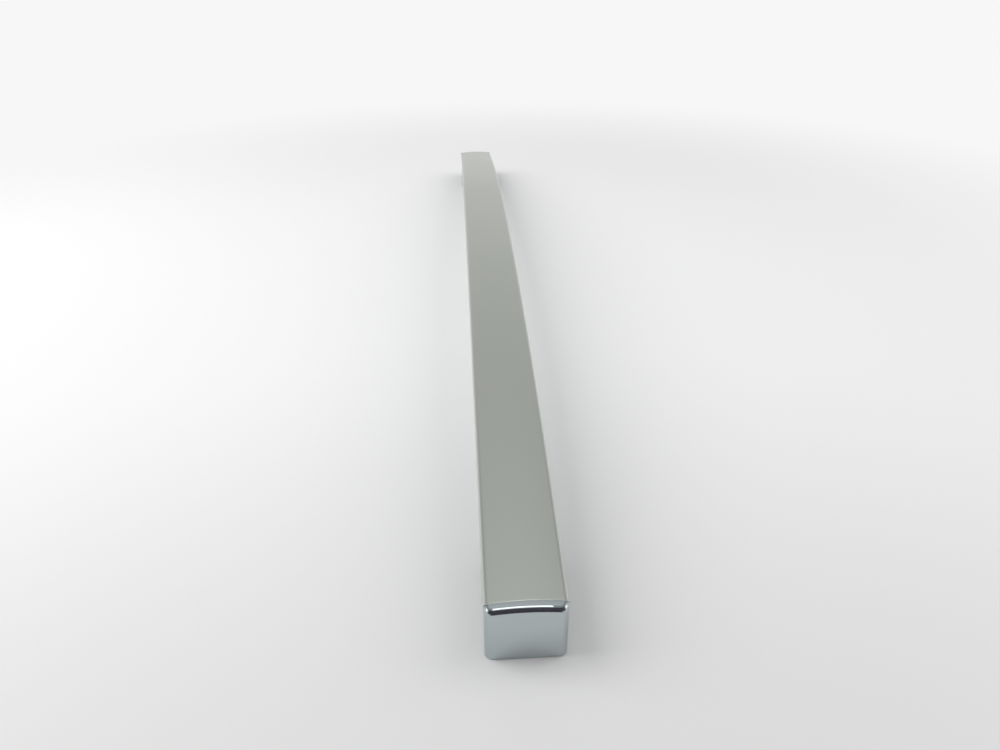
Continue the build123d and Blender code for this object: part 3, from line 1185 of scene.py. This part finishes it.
def make_camera():
    """Camera at the near end of the handle, looking along it and down."""
    settings = studio()
    yaw, pitch, roll = settings.yaw, settings.pitch, settings.roll
    forward = Vector(
        (math.sin(yaw) * math.cos(pitch), math.cos(yaw) * math.cos(pitch), -math.sin(pitch))
    )
    level = Vector((math.cos(yaw), -math.sin(yaw), 0))
    upright = level.cross(forward)
    right = math.cos(roll) * level + math.sin(roll) * upright
    up = right.cross(forward)
    turn = Matrix((right, up, -forward)).transposed().to_euler()
    deselect()
    bpy.ops.object.camera_add(location=settings.camera_place, rotation=turn)
    camera = bpy.context.object
    camera.name = "photo_camera"
    camera.data.sensor_width = 36
    camera.data.lens = settings.lens
    camera.data.clip_start = 0.01
    bpy.context.scene.camera = camera


class HANDLE_OT_face_strip(bpy.types.Operator):
    """Make the brushed face strip"""

    bl_idname = "handle.face_strip"
    bl_label = "Face strip"

    def execute(self, context):
        make_face_strip()
        return {"FINISHED"}


class HANDLE_OT_rear_shell(bpy.types.Operator):
    """Make the bright rear shell"""

    bl_idname = "handle.rear_shell"
    bl_label = "Rear shell"

    def execute(self, context):
        make_rear_shell()
        return {"FINISHED"}


class HANDLE_OT_feet(bpy.types.Operator):
    """Make both bright feet"""

    bl_idname = "handle.feet"
    bl_label = "Feet"

    def execute(self, context):
        make_feet()
        return {"FINISHED"}


class HANDLE_OT_inner_pieces(bpy.types.Operator):
    """Finish the core, the mount blocks, the screws, the pads and the tape"""

    bl_idname = "handle.inner_pieces"
    bl_label = "Inner pieces"

    def execute(self, context):
        dress_nodes()
        return {"FINISHED"}


class HANDLE_OT_stage(bpy.types.Operator):
    """Make the floor, the light and the camera"""

    bl_idname = "handle.stage"
    bl_label = "Stage"

    def execute(self, context):
        make_floor()
        make_card()
        make_world()
        make_lamps()
        make_camera()
        context.scene.view_settings.view_transform = "Standard"
        return {"FINISHED"}


class HANDLE_PT_sidebar(bpy.types.Panel):
    """Sizes, finishes and operators of the handle"""

    bl_idname = "HANDLE_PT_sidebar"
    bl_label = "Door handle"
    bl_space_type = "VIEW_3D"
    bl_region_type = "UI"
    bl_category = "Handle"

    def draw(self, context):
        for group in ("handle_bar", "handle_foot", "handle_finishes", "handle_studio"):
            box = self.layout.box()
            settings = getattr(context.scene, group)
            for name in settings.bl_rna.properties.keys():
                if name not in ("rna_type", "name"):
                    box.prop(settings, name)
        for operator in OPERATORS:
            self.layout.operator(operator.bl_idname)


GROUPS = {
    "handle_bar": BarSizes,
    "handle_foot": FootSizes,
    "handle_finishes": Finishes,
    "handle_studio": Studio,
}
OPERATORS = (
    HANDLE_OT_face_strip,
    HANDLE_OT_rear_shell,
    HANDLE_OT_feet,
    HANDLE_OT_inner_pieces,
    HANDLE_OT_stage,
)
CLASSES = (*GROUPS.values(), *OPERATORS, HANDLE_PT_sidebar)


def register():
    """Registers the classes and the settings."""
    for listed in CLASSES:
        bpy.utils.register_class(listed)
    for name, group in GROUPS.items():
        setattr(bpy.types.Scene, name, PointerProperty(type=group))


def unregister():
    """Takes the settings and the classes out again."""
    for name in GROUPS:
        delattr(bpy.types.Scene, name)
    for listed in reversed(CLASSES):
        bpy.utils.unregister_class(listed)


def main():
    """Dresses the handle piece by piece, then sets the stage."""
    register()
    bpy.ops.handle.face_strip()
    bpy.ops.handle.rear_shell()
    bpy.ops.handle.feet()
    bpy.ops.handle.inner_pieces()
    bpy.ops.handle.stage()


if __name__ == "__main__":
    main()
